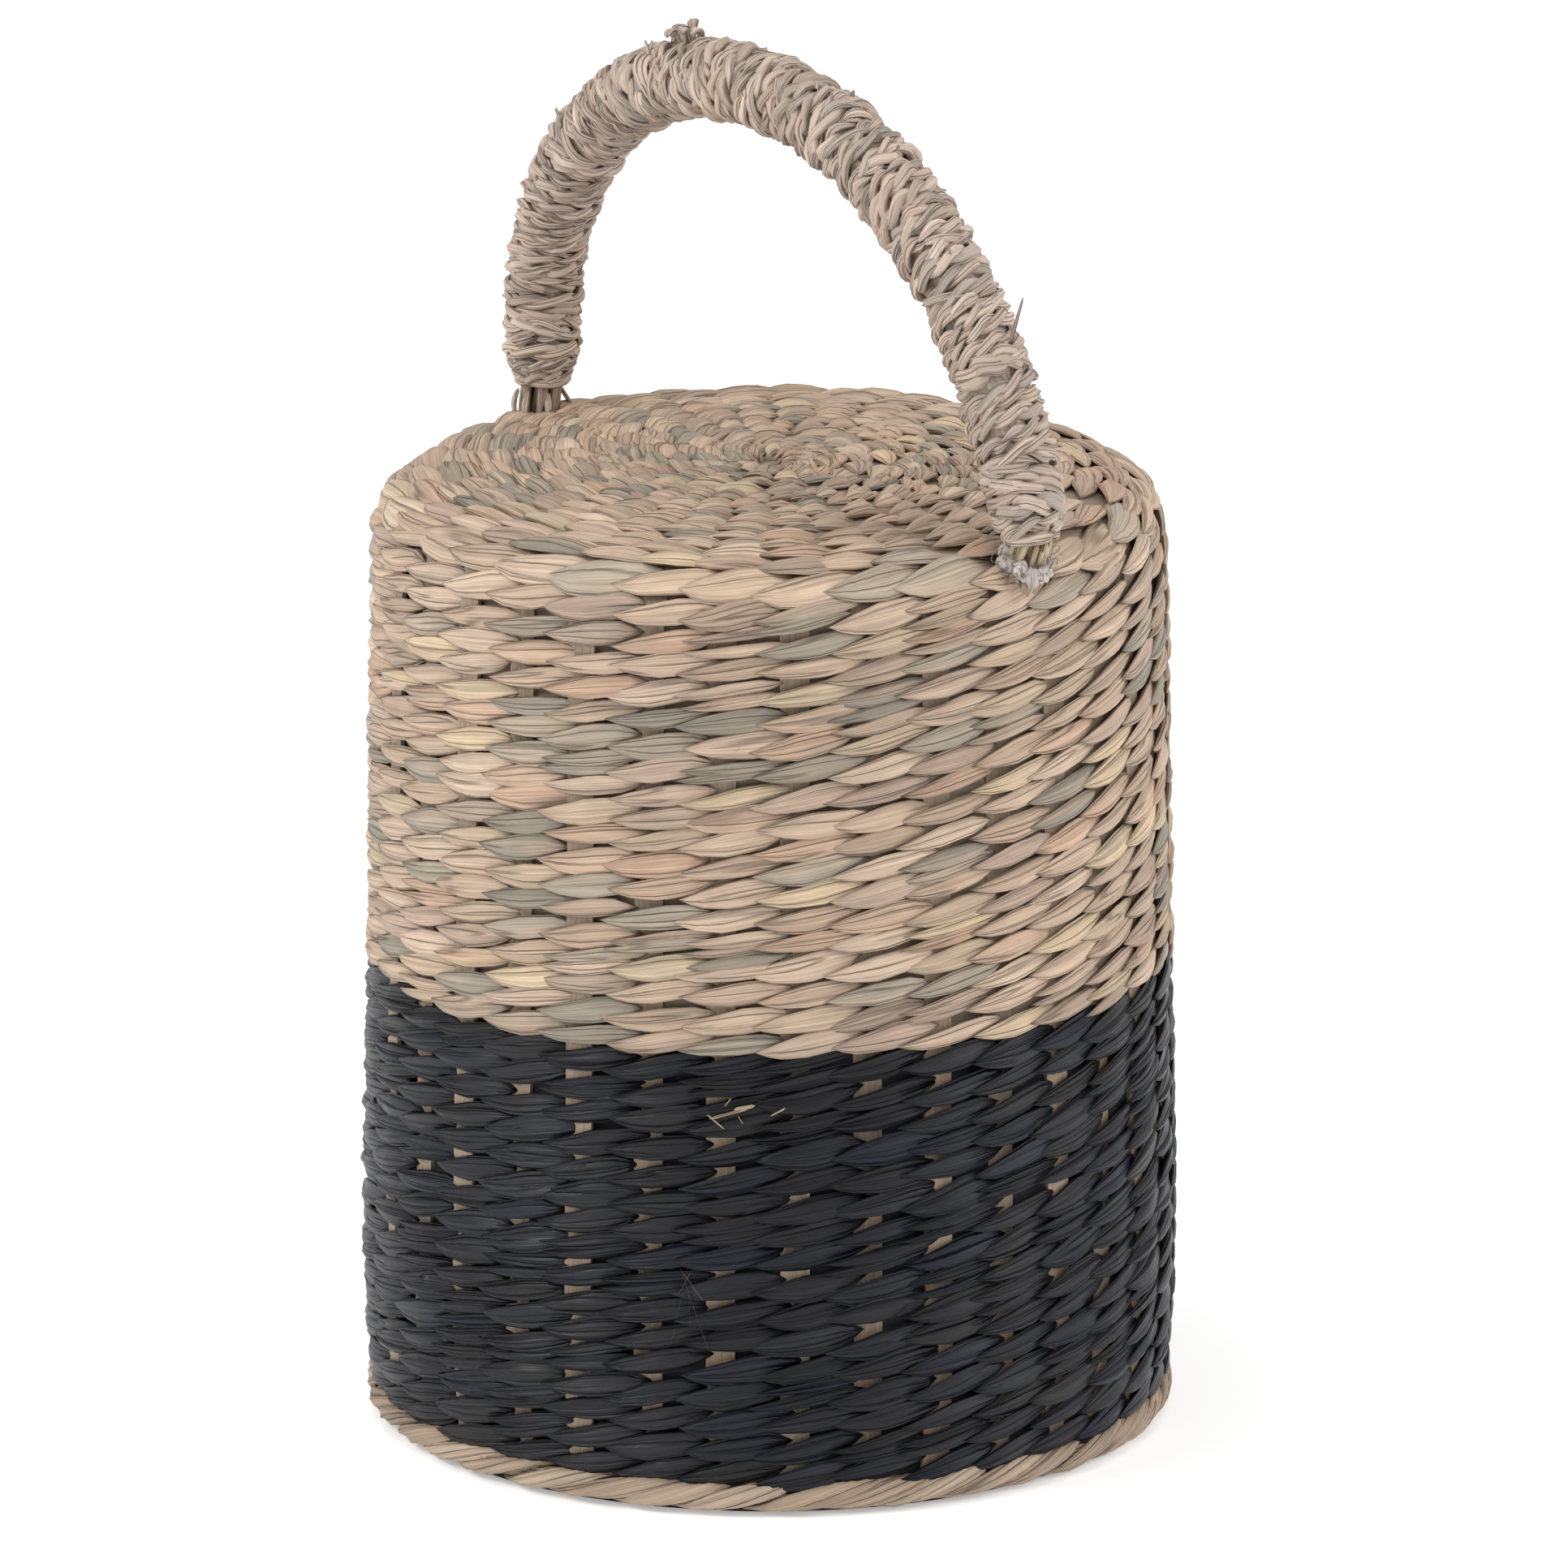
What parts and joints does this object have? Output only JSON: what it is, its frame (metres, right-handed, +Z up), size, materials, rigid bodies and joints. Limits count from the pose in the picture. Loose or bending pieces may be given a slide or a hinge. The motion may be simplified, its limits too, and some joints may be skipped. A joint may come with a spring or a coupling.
{
  "type": "woven basket doorstop",
  "caption": "Weighted basket doorstop: a closed two-tone woven seagrass drum with a rounded top, a twisted natural rim and an arched rope handle wrapped in leaf strands.",
  "frame": {"origin": "centre of the underside, on the floor", "axes": "+Z up along the axis of the basket; the handle spans along X, and its outer foot is on +X"},
  "size_m": [0.1863, 0.1834, 0.3151],
  "materials": {
    "natural_seagrass": "dry matt leaf",
    "dyed_seagrass": "dyed leaf with a faint sheen",
    "stake_slat": "split cane, matt",
    "handle_leaf": "dry matt leaf",
    "rope_core": "coarse fibre",
    "grey_felt": "loose fuzzy fibre",
    "lining_cloth": "plain cotton",
    "black_cloth": "non-woven cloth",
    "card": "grey board",
    "thread": "sewing thread",
    "sand": "loose dry sand"
  },
  "bodies": {
    "basket": {"long_stakes_lower": "stake_slat", "long_stakes_upper": "stake_slat", "inserted_stakes": "stake_slat", "top_weft": "natural_seagrass", "shoulder_wale": "natural_seagrass", "natural_wall_weft": "natural_seagrass", "dark_wall_weft": "dyed_seagrass", "rim_border": "natural_seagrass", "underside_cloth": "black_cloth", "underside_board": "card", "underside_stitches": "thread", "lining_bag": "lining_cloth", "wadding": "lining_cloth", "sand_bag": "lining_cloth", "sand_fill": "sand", "left_knot": "rope_core", "right_knot": "rope_core", "left_neck": "rope_core", "right_neck": "rope_core", "left_lashing": "handle_leaf", "right_padding": "grey_felt"},
    "handle": {"handle_core": "rope_core", "handle_wrap": "handle_leaf", "handle_tuck": "handle_leaf", "loose_leaf_end": "handle_leaf"}
  },
  "joints": [
    {"name": "handle_swing", "type": "hinge", "parent": "basket", "child": "handle", "pos_m": [0.00351, 0, 0.21544], "axis": [0.9997, 0, -0.0246], "range_deg": [-40, 40], "deforming": ["left_neck", "right_neck", "left_lashing", "right_padding"]}
  ]
}
